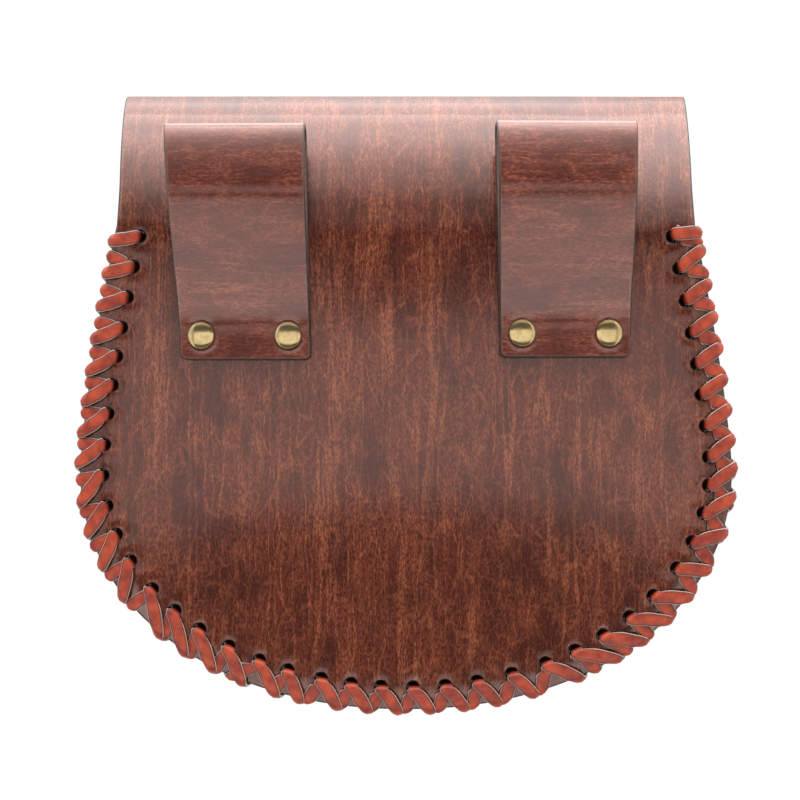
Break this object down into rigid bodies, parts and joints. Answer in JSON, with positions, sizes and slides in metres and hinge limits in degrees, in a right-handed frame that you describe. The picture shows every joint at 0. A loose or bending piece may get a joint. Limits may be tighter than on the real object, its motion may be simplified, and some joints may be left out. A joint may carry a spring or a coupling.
{
  "type": "belt pouch",
  "caption": "D-shaped leather belt pouch with a fold-over flap, an edge laced with crossing flat lace, and riveted belt loops on its back.",
  "frame": {"origin": "middle of the pouch's outline on the floor, in the outer face of the flap on which it lies", "axes": "+X to the right of the back as it is seen, +Y towards the top fold, +Z out of the back"},
  "size_m": [0.2217, 0.2108, 0.0606],
  "materials": {
    "panel_leather": "dark brown with reddish streaks, satin",
    "strap_leather": "dark brown, polished, edges painted dark",
    "lace_leather": "reddish tan, semi-matt",
    "rivet_brass": "antique brass, low dome"
  },
  "bodies": {
    "root": {"back_and_flap": "panel_leather", "front_panel": "panel_leather", "belt_loop_left": "strap_leather", "belt_loop_right": "strap_leather", "lace_over": "lace_leather", "lace_under": "lace_leather", "rivet_left_outer": "rivet_brass", "rivet_left_inner": "rivet_brass", "rivet_right_inner": "rivet_brass", "rivet_right_outer": "rivet_brass"}
  },
  "joints": []
}
